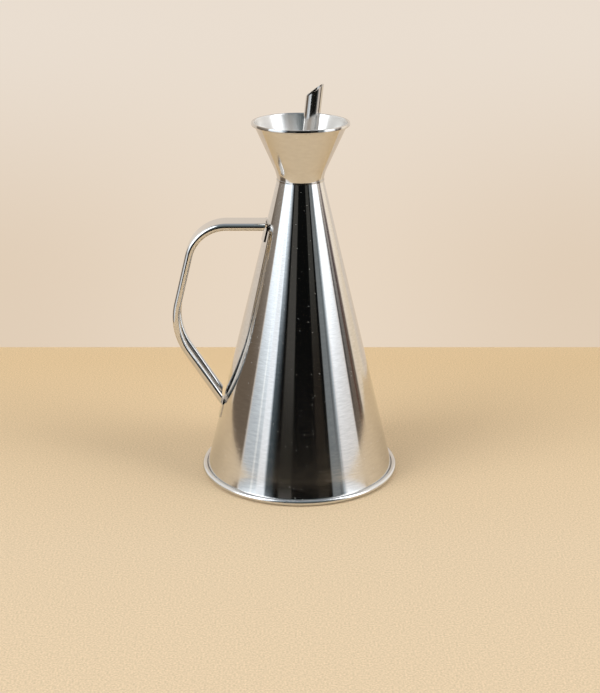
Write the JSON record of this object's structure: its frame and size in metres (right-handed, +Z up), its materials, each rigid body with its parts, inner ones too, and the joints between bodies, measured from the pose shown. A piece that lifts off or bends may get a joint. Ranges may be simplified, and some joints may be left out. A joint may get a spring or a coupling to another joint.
{
  "type": "olive oil can",
  "caption": "Tall conical steel oil can with a drip funnel at its neck, a slanted spout tube on a lift-out stopper, and a strap handle.",
  "frame": {"origin": "centre of the flat ring that the can stands on", "axes": "+Z up the can's axis, -X towards the handle, +X the way the can pours"},
  "size_m": [0.1479, 0.1306, 0.2566],
  "materials": {
    "polished_steel": "polished bright, fine lines round the cone",
    "funnel_steel": "polished outside, satin inside",
    "handle_steel": "polished",
    "tube_steel": "bright drawn tube",
    "seal_rubber": "matt food-safe silicone"
  },
  "bodies": {
    "can": {"cone_body": "polished_steel", "base_plate": "polished_steel", "neck_ring": "polished_steel", "drip_funnel": "funnel_steel", "handle_strap": "handle_steel"},
    "seal": {"seal_ring": "seal_rubber"},
    "spout": {"stopper_cup": "funnel_steel", "spout_tube": "tube_steel"}
  },
  "joints": [
    {"name": "stopper_lift", "type": "slide", "parent": "can", "child": "seal", "axis": [0, 0, 1], "range_m": [0, 0.05]},
    {"name": "spout_swivel", "type": "hinge", "parent": "seal", "child": "spout", "pos_m": [0, 0, 0.201], "axis": [0, 0, 1], "continuous": true}
  ]
}
